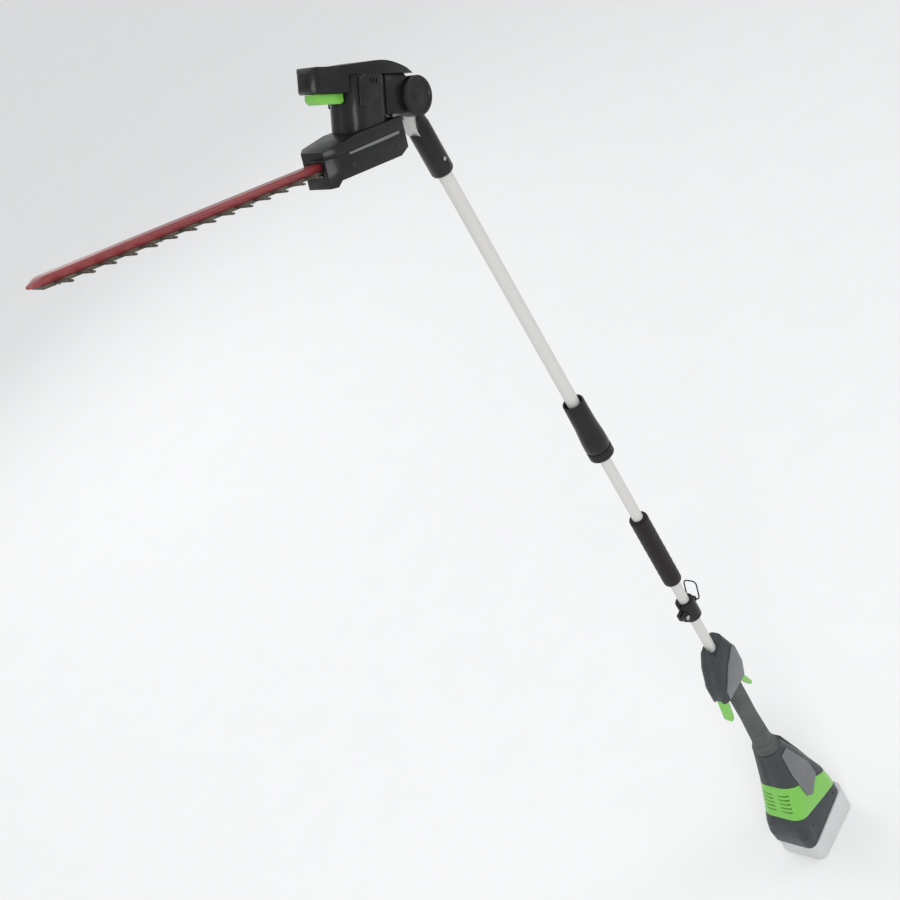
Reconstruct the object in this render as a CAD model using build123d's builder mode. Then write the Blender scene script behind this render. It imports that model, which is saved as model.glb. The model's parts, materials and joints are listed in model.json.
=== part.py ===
from build123d import *
from math import cos, sin, radians, pi
import os

# Long-reach cordless hedge trimmer. Millimetres, +Z up along the pole, which stands on the flat
# underside of its battery housing. The blade points to -X and the model is symmetric about Y = 0.

# ---------------------------------------------------------------- driving dimensions
# whole tool
PIVOT_HEIGHT = 2107.0         # base underside to the head's hinge axis
BLADE_LENGTH = 540.0          # cutting bar that stands out of the gear housing
HEAD_ANGLE = 22.5             # blade above horizontal as stored
BODY_TILT = 12.5              # motor housing leans back from the blade by this much

# clearances
RUN = 0.05                    # radial gap of a pin or shaft that turns
SEAT = 0.15                   # gap between fixed pieces that slip together
APART = 0.4                   # gap between curved faces of pieces that move apart
FREE = 1.0                    # side gap of a moving lever in its slot

# pole
UPPER_TUBE_D = 25.0
UPPER_TUBE_WALL = 1.0
LOWER_TUBE_WALL = 1.2
LOWER_TUBE_FOOT = 352.0       # lower end of the inner tube, inside the grip collar
SLIDE_IN = 150.0              # how far the upper pole telescopes down
LOCK_FOOT = 1283.0            # lower face of the twist lock
LOCK_RING_HEIGHT = 20.0
LOCK_SLEEVE_LENGTH = 119.0
LOCK_TOP_D = 42.0
LOCK_BOTTOM_D = 50.0
COLLET_WALL = 3.2

# head joint
DRUM_R = 32.0
DRUM_HALF = 39.0
CAP_T = 3.0
ARM_HALF = 12.0
EYE_R = 26.0
PIVOT_PIN_R = 5.0
DETENT_STEP = 22.5
DETENT_COUNT = 7
DETENT_DEPTH = 2.4
LOCK_PIN_R = 3.0
SOCKET_LENGTH = 150.0         # hinge axis to the socket's lower end
SOCKET_R = 20.0
SOCKET_TOP = 37.0             # hinge axis to the socket's top
NECK_LENGTH = 66.0            # hinge axis to the foot of the arm's neck
STEM_LENGTH = 46.0            # arm stem inside the upper tube
SCREW_CAP_R = 3.4
SCREW_CAP_T = 2.2
SCREW_SHANK_R = 2.0
SCREW_RISE = 26.0             # socket's lower end to its screw

# motor housing, cover and handle of the head
WALL = 3.0
MOTOR_HOUSING_BACK = 58.0     # distances from the hinge axis along the tilted body
MOTOR_HOUSING_FRONT = 140.0
MOTOR_HOUSING_HALF = 35.0
MOTOR_HOUSING_CORNER = 26.0
COVER_SEAM = 36.0             # height of the seam between cover and motor housing
COVER_TOP = 56.0
HANDLE_END = 212.0
HANDLE_CORNER = 12.0          # chamfers of the handle's end, seen from above
HANDLE_HALF = 22.0
HANDLE_BOTTOM = 10.0
HANDLE_TOP = 49.5
CHEEK_IN = 13.5
CHEEK_OUT = 36.0
NECK_OUT = 26.0

# gear housing
GEAR_BACK = 38.0
GEAR_FRONT = 217.0
GEAR_TOP = -20.0
GEAR_BOTTOM = -78.0
GEAR_HALF = 38.0
GEAR_SEAM = -42.0
NOSE_TOP = -30.0
NOSE_SLOPE_START = 150.0      # the flat top ends here and slopes down to the nose
ROOF_T = 5.0
NOSE_HALF = 24.0
LIP_BOTTOM = -87.0

# drive
GEAR_MODULE = 1.25
GEAR_TEETH = 48
PINION_TEETH = 12
GEAR_T = 8.0
MOTOR_POS = 92.7              # motor axis, ahead of the hinge axis
MOTOR_R = 21.0
MOTOR_BORE = 17.0
MOTOR_LOW = -14.0
MOTOR_HIGH = 36.0
ROTOR_R = 13.0
SHAFT_R = 4.0
BEARING_R = 9.0
ECCENTRIC_R = 10.0
STROKE = 4.4                  # each blade's travel to either side of mid-stroke
HUB_R = 5.5

# cutting bar
BAR_HALF = 11.0
BAR_TOP = -47.0
BAR_T = 11.0
BAR_ROOT = 176.0
BLADE_T = 2.5
BLADE_HALF = 14.0
TOOTH_TIP = 34.0              # tooth tips from the centre line
TOOTH_PITCH = 36.0
TOOTH_BASE = 11.0
TOOTH_POINT = 3.6
SCREW_R = 3.0
SCREW_HEAD_R = 5.5
SCREW_HEAD_T = 3.2
SCREW_COUNT = 6

# release lever
LEVER_BACK = 126.0
LEVER_FRONT = 196.0
LEVER_BOTTOM = -6.0
LEVER_HALF = 14.0
LEVER_PIVOT_POS = 184.0
LEVER_PIVOT_HEIGHT = 18.0
LEVER_ARM = 24.0
LEVER_EAR_HALF = 4.0
LEVER_PIN_R = 2.0
PULL_GAP = 1.6                # pull rod to the ear of the lever
PULL_ROD_R = 1.5

# grips and clamp on the lower pole
FOAM_FOOT = 914.0
FOAM_LENGTH = 190.0
FOAM_D = 38.5
CLAMP_FOOT = 802.0
CLAMP_HEIGHT = 50.0
CLAMP_D = 40.0
CLAMP_BOLT_R = 2.5
RING_WIRE_R = 1.5
RING_WIDTH = 30.0
RING_HEIGHT = 43.0
RING_LEAN = 18.0
RING_CORNER = 9.0

# switch housing and rear grip
SWITCH_FOOT = 575.0
SWITCH_TOP = 706.0
GRIP_FOOT = 371.0
GRIP_TOP_R = 20.5
GRIP_FOOT_R = 22.5
COLLAR_R = 30.0
COLLAR_FOOT = 344.0
TRIGGER_HALF = 8.0
TRIGGER_LENGTH = 80.0
PIN_R = 2.5
PIN_HALF = 22.0
LOCKOFF_HALF = 6.0
LOCKOFF_LENGTH = 78.0

# battery housing
HOUSING_WALL = 3.0
BASE_BACK = 100.0
BASE_FRONT = -66.0
BASE_HALF = 58.0
SHOULDER_TOP = 343.0
BAND_TOP_HEIGHT = 215.0       # seam heights on the pole axis, and the slopes of the seams
BAND_TOP_SLOPE = -36.0
BAND_FOOT_HEIGHT = 134.0
BAND_FOOT_SLOPE = -18.0
BASE_TOP_HEIGHT = 66.0
BASE_TOP_SLOPE = 6.0
BATTERY_LENGTH = 117.0
BATTERY_WIDTH = 46.0
BATTERY_HEIGHT = 76.0
BATTERY_BACK = 70.0
RIB_HALF = 3.0                # half the web between the two batteries
BULKHEAD_T = 4.0
PANEL_T = 2.4
CABLE_HOLE_R = 8.0
VENT_ROWS = 5
VENT_FOOT = 174.0
VENT_PITCH = 11.5
VENT_SLOT = 4.0
VENT_IN = 7.0
VENT_OUT = 33.0
BUMPER_T = 4.5
BUMPER_HALF = 14.0
RIB_PITCH = 11.0
RIB_GAP = 3.5

# ---------------------------------------------------------------- derived places
LOWER_TUBE_D = UPPER_TUBE_D - 2 * UPPER_TUBE_WALL - 2 * APART
UPPER_TUBE_FOOT = LOCK_FOOT + LOCK_RING_HEIGHT
UPPER_TUBE_TOP = PIVOT_HEIGHT - NECK_LENGTH
LOWER_TUBE_TOP = UPPER_TUBE_TOP - STEM_LENGTH - SLIDE_IN - 15
TUBE_BORE_R = LOWER_TUBE_D / 2 + SEAT

GEAR_POS = MOTOR_POS + GEAR_MODULE * (GEAR_TEETH + PINION_TEETH) / 2
BAR_BOTTOM = BAR_TOP - BAR_T
UPPER_BLADE_LOW = BAR_BOTTOM - BLADE_T
LOWER_BLADE_LOW = UPPER_BLADE_LOW - BLADE_T
BLADE_TIP = GEAR_FRONT + BLADE_LENGTH - 3
WINDOW_LENGTH = 2 * (ECCENTRIC_R + 2 * STROKE + APART)
WINDOW_WIDTH = 2 * (ECCENTRIC_R + STROKE + APART)
GEAR_LOW = GEAR_SEAM + 3

pivot = Vector(0, 0, PIVOT_HEIGHT)
blade_dir = Vector(-cos(radians(HEAD_ANGLE)), 0, sin(radians(HEAD_ANGLE)))
across_dir = Vector(0, 1, 0)
# side view of the head: x along the blade, y away from it, z to +Y
HEAD = Plane(origin=pivot, x_dir=blade_dir, z_dir=across_dir)
# the same view, leaning back with the motor housing
body_rise = radians(HEAD_ANGLE + BODY_TILT)
BODY = Plane(origin=pivot, x_dir=(-cos(body_rise), 0, sin(body_rise)), z_dir=across_dir)
SIDE = Plane(origin=(0, 0, 0), x_dir=(1, 0, 0), z_dir=(0, -1, 0))


# ---------------------------------------------------------------- shared helpers
def level(frame, height):
    """Plan view plane of a side-view frame, at a height above its x axis."""
    origin = frame.from_local_coords(Vector(0, height, 0))
    return Plane(origin=origin, x_dir=frame.x_dir, z_dir=frame.y_dir)


def save(piece, name):
    piece.part.label = name
    export_step(piece.part, f"parts/{name}.step")


def disc(frame, centre, radius, low, high, mode=Mode.ADD):
    """A round plate or hole across a side view, between two distances from Y = 0."""
    with BuildSketch(frame.offset(low), mode=Mode.PRIVATE) as outline:
        with Locations(centre):
            Circle(radius)
    extrude(outline.sketch, amount=high - low, mode=mode)


def slab(frame, points, low, high, mode=Mode.ADD):
    """A side-view outline made solid between two distances from Y = 0."""
    with BuildSketch(frame.offset(low), mode=Mode.PRIVATE) as outline:
        with BuildLine():
            Polyline(*points, close=True)
        make_face()
    extrude(outline.sketch, amount=high - low, mode=mode)


def post(frame, centre, radius, low, high, mode=Mode.ADD):
    """A round post or bore that stands on a frame's x axis, between two heights."""
    with BuildSketch(level(frame, low), mode=Mode.PRIVATE) as outline:
        with Locations((centre, 0)):
            Circle(radius)
    extrude(outline.sketch, amount=high - low, mode=mode)


def block(frame, back, front, half, low, high, corner=0, mode=Mode.ADD):
    """A rounded block, given by its ends, half width and heights in a side-view frame."""
    with BuildSketch(level(frame, low), mode=Mode.PRIVATE) as outline:
        with Locations(((back + front) / 2, 0)):
            if corner:
                RectangleRounded(front - back, 2 * half, corner)
            else:
                Rectangle(front - back, 2 * half)
    extrude(outline.sketch, amount=high - low, mode=mode)


def pipe(radius, low, high, mode=Mode.ADD):
    """A cylinder on the pole axis."""
    with BuildSketch(Plane.XY.offset(low), mode=Mode.PRIVATE) as outline:
        Circle(radius)
    extrude(outline.sketch, amount=high - low, mode=mode)


def keep_side(side):
    """Keeps the +Y or the -Y half of the piece being built."""
    split(bisect_by=Plane.XZ, keep=Keep.BOTTOM if side > 0 else Keep.TOP)


SIDES = ((1, "right"), (-1, "left"))
os.makedirs("parts", exist_ok=True)

# ---------------------------------------------------------------- telescopic pole
with BuildPart() as lower_tube:
    pipe(LOWER_TUBE_D / 2, LOWER_TUBE_FOOT, LOWER_TUBE_TOP)
    pipe(LOWER_TUBE_D / 2 - LOWER_TUBE_WALL, LOWER_TUBE_FOOT, LOWER_TUBE_TOP, Mode.SUBTRACT)
save(lower_tube, "lower_tube")

joint_side = Plane(origin=pivot, x_dir=(1, 0, 0), z_dir=(0, -1, 0))
screw_place = (0, SCREW_RISE - SOCKET_LENGTH)
with BuildPart() as upper_tube:
    pipe(UPPER_TUBE_D / 2, UPPER_TUBE_FOOT, UPPER_TUBE_TOP)
    pipe(UPPER_TUBE_D / 2 - UPPER_TUBE_WALL, UPPER_TUBE_FOOT, UPPER_TUBE_TOP, Mode.SUBTRACT)
    disc(joint_side, screw_place, SCREW_SHANK_R + SEAT, 0, UPPER_TUBE_D, Mode.SUBTRACT)
save(upper_tube, "upper_tube")

# the sleeve grips the upper tube and opens as a funnel at its top
sleeve_foot = UPPER_TUBE_FOOT + SEAT
sleeve_top = LOCK_FOOT + LOCK_RING_HEIGHT + LOCK_SLEEVE_LENGTH
with BuildPart() as lock_sleeve:
    with BuildSketch(Plane.XZ):
        with BuildLine():
            Polyline(
                (UPPER_TUBE_D / 2 + SEAT, sleeve_foot),
                (LOCK_BOTTOM_D / 2 - 1.5, sleeve_foot),
                (LOCK_BOTTOM_D / 2, sleeve_foot + 6),
                (LOCK_BOTTOM_D / 2 - 0.5, sleeve_foot + 26),
                (LOCK_TOP_D / 2 + 1, sleeve_foot + 62),
                (LOCK_TOP_D / 2, sleeve_top),
                (LOCK_TOP_D / 2 - 3, sleeve_top),
                (UPPER_TUBE_D / 2 + SEAT, sleeve_top - 16),
                close=True,
            )
        make_face()
    revolve(axis=Axis.Z)
save(lock_sleeve, "lock_sleeve")

collet_bore = LOWER_TUBE_D / 2 + APART
collet_r = collet_bore + COLLET_WALL
with BuildPart() as clamp_collet:
    pipe(collet_r, LOCK_FOOT + 2, UPPER_TUBE_FOOT)
    pipe(collet_bore, LOCK_FOOT + 2, UPPER_TUBE_FOOT, Mode.SUBTRACT)
    with BuildSketch(Plane.XY.offset(LOCK_FOOT + 2)):
        with PolarLocations(collet_r, 4):
            Rectangle(2 * COLLET_WALL + 4, 1.6)
    extrude(amount=LOCK_RING_HEIGHT - 6, mode=Mode.SUBTRACT)
save(clamp_collet, "clamp_collet")

with BuildPart() as lock_ring:
    pipe(LOCK_BOTTOM_D / 2, LOCK_FOOT, UPPER_TUBE_FOOT - APART)
    pipe(collet_r + APART, LOCK_FOOT, UPPER_TUBE_FOOT, Mode.SUBTRACT)
    chamfer(lock_ring.edges().filter_by(GeomType.CIRCLE).group_by(SortBy.RADIUS)[-1], 1.5)
    with BuildSketch(Plane.XY.offset(LOCK_FOOT)):
        with PolarLocations(LOCK_BOTTOM_D / 2 + 0.8, 16):
            Circle(2)
    extrude(amount=LOCK_RING_HEIGHT, mode=Mode.SUBTRACT)
save(lock_ring, "lock_ring")

# ---------------------------------------------------------------- head joint on the upper pole
# the arm's neck is a wedge that shows in front of the socket's top
neck = [
    (-EYE_R + 2, -10),
    (-EYE_R - 6, -36),
    (-EYE_R - 6, -50),
    (-SOCKET_R + 2, -NECK_LENGTH),
    (SOCKET_R - 5, -NECK_LENGTH),
    (SOCKET_R - 5, -20),
    (EYE_R - 5, -8),
]
with BuildPart() as knuckle_arm:
    disc(joint_side, (0, 0), EYE_R, -ARM_HALF, ARM_HALF)
    slab(joint_side, neck, -ARM_HALF, ARM_HALF)
    stem_r = UPPER_TUBE_D / 2 - UPPER_TUBE_WALL - SEAT
    pipe(stem_r, UPPER_TUBE_TOP - STEM_LENGTH, UPPER_TUBE_TOP + 1)
    pipe(stem_r - 3, UPPER_TUBE_TOP - STEM_LENGTH, UPPER_TUBE_TOP - 4, Mode.SUBTRACT)
    disc(joint_side, (0, 0), PIVOT_PIN_R + RUN, -ARM_HALF, ARM_HALF, Mode.SUBTRACT)
    # one notch for each head angle the lock pin can hold
    for step in range(DETENT_COUNT):
        swing = radians(180 - (BODY_TILT + step * DETENT_STEP))
        notch = Plane(
            origin=pivot + Vector(cos(swing), 0, sin(swing)) * EYE_R,
            x_dir=(0, 1, 0),
            z_dir=(cos(swing), 0, sin(swing)),
        )
        with BuildSketch(notch):
            Circle(LOCK_PIN_R + APART)
        extrude(amount=-DETENT_DEPTH - APART, mode=Mode.SUBTRACT)
save(knuckle_arm, "knuckle_arm")

socket_foot = PIVOT_HEIGHT - SOCKET_LENGTH
with BuildPart() as pole_socket:
    with BuildSketch(Plane.XZ):
        with BuildLine():
            Polyline(
                (UPPER_TUBE_D / 2 + SEAT, socket_foot),
                (SOCKET_R - 2, socket_foot),
                (SOCKET_R, socket_foot + 4),
                (SOCKET_R, PIVOT_HEIGHT - SOCKET_TOP - 20),
                (SOCKET_R - 4, PIVOT_HEIGHT - SOCKET_TOP),
                (UPPER_TUBE_D / 2 + SEAT, PIVOT_HEIGHT - SOCKET_TOP),
                close=True,
            )
        make_face()
    revolve(axis=Axis.Z)
    wide_neck = [(x - SEAT if x < 0 else x + SEAT, z - SEAT) for x, z in neck]
    slab(joint_side, wide_neck, -ARM_HALF - SEAT, ARM_HALF + SEAT, Mode.SUBTRACT)
    # the front of the socket is open above the neck, so the wedge shows
    front_cut = [(-SOCKET_R - 5, -SOCKET_TOP + 1), (-4, -SOCKET_TOP + 1), (-SOCKET_R - 5, -NECK_LENGTH)]
    slab(joint_side, front_cut, -SOCKET_R, SOCKET_R, Mode.SUBTRACT)
    disc(joint_side, screw_place, SCREW_CAP_R + SEAT, SOCKET_R - SCREW_CAP_T - SEAT, 30, Mode.SUBTRACT)
    disc(joint_side, screw_place, SCREW_SHANK_R + SEAT, 0, SOCKET_R, Mode.SUBTRACT)
save(pole_socket, "pole_socket")

with BuildPart() as socket_screw:
    disc(joint_side, screw_place, SCREW_CAP_R, SOCKET_R - SCREW_CAP_T, SOCKET_R - 0.5)
    disc(joint_side, screw_place, SCREW_SHANK_R, UPPER_TUBE_D / 2 - 2, SOCKET_R - SCREW_CAP_T + 0.5)
save(socket_screw, "socket_screw")

# ---------------------------------------------------------------- head: hinge, motor housing, cover
with BuildPart() as pivot_bolt:
    disc(HEAD, (0, 0), PIVOT_PIN_R, -CHEEK_OUT + 6, CHEEK_OUT - 6)
    disc(HEAD, (0, 0), PIVOT_PIN_R + 4, CHEEK_OUT - 6, CHEEK_OUT - 1)
    disc(HEAD, (0, 0), PIVOT_PIN_R + 4, -CHEEK_OUT + 1, -CHEEK_OUT + 6)
save(pivot_bolt, "pivot_bolt")


def motor_shell(side):
    """Half of the motor housing, with its hinge cheek and the neck between them."""
    with BuildPart() as shell:
        block(BODY, MOTOR_HOUSING_BACK, MOTOR_HOUSING_FRONT, MOTOR_HOUSING_HALF,
              -60, COVER_SEAM, MOTOR_HOUSING_CORNER)
        inner = MOTOR_HOUSING_CORNER - WALL
        block(BODY, MOTOR_HOUSING_BACK + WALL, MOTOR_HOUSING_FRONT - WALL, MOTOR_HOUSING_HALF - WALL,
              -60, COVER_SEAM, inner, Mode.SUBTRACT)
        # the housing ends on the flat top of the gear housing
        below = [(-100, GEAR_TOP + SEAT), (300, GEAR_TOP + SEAT), (300, -200), (-100, -200)]
        slab(HEAD, below, -100, 100, Mode.SUBTRACT)
        slope = [(150, GEAR_TOP + SEAT), (150, GEAR_TOP - 30), (300, GEAR_TOP + SEAT)]
        slab(HEAD, slope, -100, 100, Mode.SUBTRACT)
        disc(HEAD, (0, 0), DRUM_R, CHEEK_IN, CHEEK_OUT)
        disc(HEAD, (0, 0), DRUM_R, -CHEEK_OUT, -CHEEK_IN)
        neck_reach = MOTOR_HOUSING_BACK + WALL
        neck_side = [(10, -26), (neck_reach, -26), (neck_reach, COVER_SEAM), (18, COVER_SEAM), (10, 28)]
        slab(BODY, neck_side, CHEEK_IN, NECK_OUT)
        slab(BODY, neck_side, -NECK_OUT, -CHEEK_IN)
        web = [(46, -14), (neck_reach, -14), (neck_reach, 14), (46, 14)]
        slab(BODY, web, -CHEEK_IN, CHEEK_IN)
        # bores for the hinge bolt, its head and the lock pin
        disc(HEAD, (0, 0), PIVOT_PIN_R + SEAT, -CHEEK_OUT, CHEEK_OUT, Mode.SUBTRACT)
        disc(HEAD, (0, 0), PIVOT_PIN_R + 4 + SEAT, CHEEK_OUT - 6 - SEAT, CHEEK_OUT, Mode.SUBTRACT)
        disc(HEAD, (0, 0), PIVOT_PIN_R + 4 + SEAT, -CHEEK_OUT, -CHEEK_OUT + 6 + SEAT, Mode.SUBTRACT)
        bore = Plane(origin=BODY.origin, x_dir=(0, 1, 0), z_dir=BODY.x_dir)
        with BuildSketch(bore.offset(20), mode=Mode.PRIVATE) as pin_hole:
            Circle(LOCK_PIN_R + RUN)
        extrude(pin_hole.sketch, amount=50, mode=Mode.SUBTRACT)
        # three cooling slots high on the side
        for row in range(3):
            height = COVER_SEAM - 12 - row * 7
            slot = [(84, height), (108, height + 1), (108, height + 4), (84, height + 3)]
            slab(BODY, slot, -50, 50, Mode.SUBTRACT)
        keep_side(side)
    return shell


for side, word in SIDES:
    save(motor_shell(side), f"motor_housing_{word}")


def hinge_cap(side):
    """Round cap with a raised rim that covers one end of the hinge."""
    with BuildPart() as cap:
        outer = sorted((side * (CHEEK_OUT + SEAT), side * DRUM_HALF))
        disc(HEAD, (0, 0), DRUM_R, *outer)
        dish = sorted((side * (DRUM_HALF - 1), side * DRUM_HALF))
        disc(HEAD, (0, 0), DRUM_R - 4, *dish, Mode.SUBTRACT)
    return cap


for side, word in SIDES:
    save(hinge_cap(side), f"hinge_cap_{word}")

# the cover is one shell over the hinge, the motor and the handle
seam = COVER_SEAM + SEAT
with BuildPart() as top_cover:
    with BuildSketch(BODY) as cover_side:
        with BuildLine():
            top = Spline((2, DRUM_R + 3.5), (30, 48), (66, COVER_TOP), (110, COVER_TOP - 2),
                         (150, HANDLE_TOP + 1), (HANDLE_END - 10, HANDLE_TOP))
            Polyline(top @ 1, (HANDLE_END, HANDLE_TOP - 10), (HANDLE_END, HANDLE_BOTTOM + 8),
                     (HANDLE_END - 8, HANDLE_BOTTOM), (MOTOR_HOUSING_FRONT + SEAT, HANDLE_BOTTOM),
                     (MOTOR_HOUSING_FRONT + SEAT, seam), (14, seam), top @ 0)
        make_face()
    extrude(amount=MOTOR_HOUSING_HALF, both=True)
    # seen from above the cover narrows from the motor to the handle
    with BuildSketch(level(BODY, -20)):
        with BuildLine():
            Polyline((-10, -28), (20, -MOTOR_HOUSING_HALF), (125, -MOTOR_HOUSING_HALF),
                     (152, -HANDLE_HALF), (HANDLE_END - HANDLE_CORNER, -HANDLE_HALF),
                     (HANDLE_END, -HANDLE_HALF + HANDLE_CORNER),
                     (HANDLE_END, HANDLE_HALF - HANDLE_CORNER), (HANDLE_END - HANDLE_CORNER, HANDLE_HALF),
                     (152, HANDLE_HALF),
                     (125, MOTOR_HOUSING_HALF), (20, MOTOR_HOUSING_HALF), (-10, 28), close=True)
        make_face()
    extrude(amount=120, mode=Mode.INTERSECT)
    # hollow over the motor, and hollow in the handle with an open underside for the lever
    handle_inside = HANDLE_END - HANDLE_CORNER
    hollow = [(50, 30), (50, 44), (66, COVER_TOP - 2 * WALL), (112, COVER_TOP - 2.5 * WALL),
              (handle_inside, HANDLE_TOP - WALL), (handle_inside, HANDLE_BOTTOM + WALL),
              (MOTOR_HOUSING_FRONT - WALL, HANDLE_BOTTOM + WALL), (MOTOR_HOUSING_FRONT - WALL, 30)]
    slab(BODY, hollow, -HANDLE_HALF + WALL, HANDLE_HALF - WALL, Mode.SUBTRACT)
    lever_slot = LEVER_HALF + FREE
    underside = [(MOTOR_HOUSING_FRONT - 5, HANDLE_BOTTOM - 5), (LEVER_FRONT + FREE, HANDLE_BOTTOM - 5),
                 (LEVER_FRONT + FREE, HANDLE_BOTTOM + 5), (MOTOR_HOUSING_FRONT - 5, HANDLE_BOTTOM + 5)]
    slab(BODY, underside, -lever_slot, lever_slot, Mode.SUBTRACT)
    lever_pivot = (LEVER_PIVOT_POS, LEVER_PIVOT_HEIGHT)
    disc(BODY, lever_pivot, LEVER_PIN_R + SEAT, -HANDLE_HALF + 1, HANDLE_HALF - 1, Mode.SUBTRACT)
save(top_cover, "top_cover")

# ---------------------------------------------------------------- release lever and lock pin
with BuildPart() as release_lever:
    root = MOTOR_HOUSING_FRONT + 2 * FREE
    slab(BODY, [(root, LEVER_BOTTOM + 3), (root + 6, LEVER_BOTTOM), (LEVER_FRONT - 6, LEVER_BOTTOM),
                (LEVER_FRONT, LEVER_BOTTOM + 6), (LEVER_FRONT, HANDLE_BOTTOM - 1),
                (root, HANDLE_BOTTOM - 1)], -LEVER_HALF, LEVER_HALF)
    ear_top = LEVER_PIVOT_HEIGHT + LEVER_ARM
    slab(BODY, [(LEVER_PIVOT_POS - 6, HANDLE_BOTTOM - 2), (LEVER_PIVOT_POS + 6, HANDLE_BOTTOM - 2),
                (LEVER_PIVOT_POS + LEVER_EAR_HALF, ear_top), (LEVER_PIVOT_POS - LEVER_EAR_HALF, ear_top)],
         -LEVER_EAR_HALF, LEVER_EAR_HALF)
    disc(BODY, lever_pivot, LEVER_PIN_R + RUN, -5, 5, Mode.SUBTRACT)
save(release_lever, "release_lever")

with BuildPart() as lever_pin:
    disc(BODY, lever_pivot, LEVER_PIN_R, -HANDLE_HALF + 1.5, HANDLE_HALF - 1.5)
save(lever_pin, "lever_pin")

rod_height = LEVER_PIVOT_HEIGHT + LEVER_ARM - 2
with BuildPart() as lock_pin:
    along = Plane(origin=BODY.origin, x_dir=(0, 1, 0), z_dir=BODY.x_dir)
    with BuildSketch(along.offset(EYE_R + APART)):
        Circle(LOCK_PIN_R)
    extrude(amount=MOTOR_HOUSING_BACK + WALL + 4 - EYE_R - APART)
    riser_back = MOTOR_HOUSING_BACK + WALL + 1
    slab(BODY, [(riser_back, -3), (riser_back + 3, -3), (riser_back + 3, rod_height + 1.5),
                (riser_back, rod_height + 1.5)], -3, 3)
    with BuildSketch(along.offset(riser_back)):
        with Locations((0, -rod_height if along.y_dir.dot(BODY.y_dir) < 0 else rod_height)):
            Circle(PULL_ROD_R)
    extrude(amount=LEVER_PIVOT_POS - LEVER_EAR_HALF - PULL_GAP - riser_back)
save(lock_pin, "lock_pin")

# ---------------------------------------------------------------- motor and gears
with BuildPart() as motor_can:
    post(HEAD, MOTOR_POS, MOTOR_R, MOTOR_LOW, MOTOR_HIGH)
    post(HEAD, MOTOR_POS, MOTOR_BORE, MOTOR_LOW + 4, MOTOR_HIGH - 4, Mode.SUBTRACT)
    post(HEAD, MOTOR_POS, BEARING_R + SEAT, MOTOR_LOW, MOTOR_HIGH, Mode.SUBTRACT)
save(motor_can, "motor_can")

with BuildPart() as motor_bearings:
    for foot in (MOTOR_LOW, MOTOR_HIGH - 4):
        post(HEAD, MOTOR_POS, BEARING_R, foot, foot + 4)
    post(HEAD, MOTOR_POS, SHAFT_R + RUN, MOTOR_LOW, MOTOR_HIGH, Mode.SUBTRACT)
save(motor_bearings, "motor_bearings")


def gear_wheel(centre, teeth, low, high, turn):
    """A spur wheel with tapered teeth, its axis across the blade plane."""
    pitch_r = GEAR_MODULE * teeth / 2
    root_r = pitch_r - 1.3 * GEAR_MODULE
    tip_r = pitch_r + 0.9 * GEAR_MODULE
    pitch = pi * GEAR_MODULE
    with BuildSketch(mode=Mode.PRIVATE) as tooth:
        with BuildLine():
            Polyline((root_r - 0.5, -0.26 * pitch), (pitch_r, -0.2 * pitch), (tip_r, -0.1 * pitch),
                     (tip_r, 0.1 * pitch), (pitch_r, 0.2 * pitch), (root_r - 0.5, 0.26 * pitch),
                     close=True)
        make_face()
    with BuildSketch(level(HEAD, low), mode=Mode.PRIVATE) as wheel:
        with Locations((centre, 0)):
            Circle(root_r)
            with PolarLocations(0, teeth, start_angle=turn):
                add(tooth.sketch)
    extrude(wheel.sketch, amount=high - low)


with BuildPart() as rotor:
    post(HEAD, MOTOR_POS, ROTOR_R, MOTOR_LOW + 7, MOTOR_HIGH - 7)
    post(HEAD, MOTOR_POS, SHAFT_R, GEAR_LOW - 1, MOTOR_HIGH + 2)
    gear_wheel(MOTOR_POS, PINION_TEETH, GEAR_LOW - 1, GEAR_LOW + GEAR_T + 1, 180 / PINION_TEETH)
save(rotor, "rotor")

with BuildPart() as drive_gear:
    gear_wheel(GEAR_POS, GEAR_TEETH, GEAR_LOW, GEAR_LOW + GEAR_T, 0)
    post(HEAD, GEAR_POS, HUB_R, GEAR_BOTTOM + WALL + FREE, GEAR_LOW + 1)
    for foot, shift in ((UPPER_BLADE_LOW, STROKE), (LOWER_BLADE_LOW, -STROKE)):
        with BuildSketch(level(HEAD, foot), mode=Mode.PRIVATE) as cam:
            with Locations((GEAR_POS, shift)):
                Circle(ECCENTRIC_R)
        extrude(cam.sketch, amount=BLADE_T)
save(drive_gear, "drive_gear")

with BuildPart() as gear_bearing:
    post(HEAD, GEAR_POS, HUB_R + 4, GEAR_BOTTOM + WALL + FREE, LOWER_BLADE_LOW - 2)
    post(HEAD, GEAR_POS, HUB_R + RUN, GEAR_BOTTOM + WALL + FREE, LOWER_BLADE_LOW - 2, Mode.SUBTRACT)
save(gear_bearing, "gear_bearing")

# ---------------------------------------------------------------- gear housing
gear_side = [
    (GEAR_BACK, GEAR_TOP - 12), (GEAR_BACK + 8, GEAR_TOP), (NOSE_SLOPE_START, GEAR_TOP),
    (GEAR_FRONT, NOSE_TOP),
    (GEAR_FRONT, LIP_BOTTOM), (GEAR_FRONT - 10, LIP_BOTTOM), (GEAR_FRONT - 16, GEAR_BOTTOM),
    (GEAR_BACK + 28, GEAR_BOTTOM), (GEAR_BACK, GEAR_BOTTOM + 14),
]
gear_inside_back = GEAR_BACK + 10
gear_inside_front = GEAR_FRONT - 20


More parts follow.
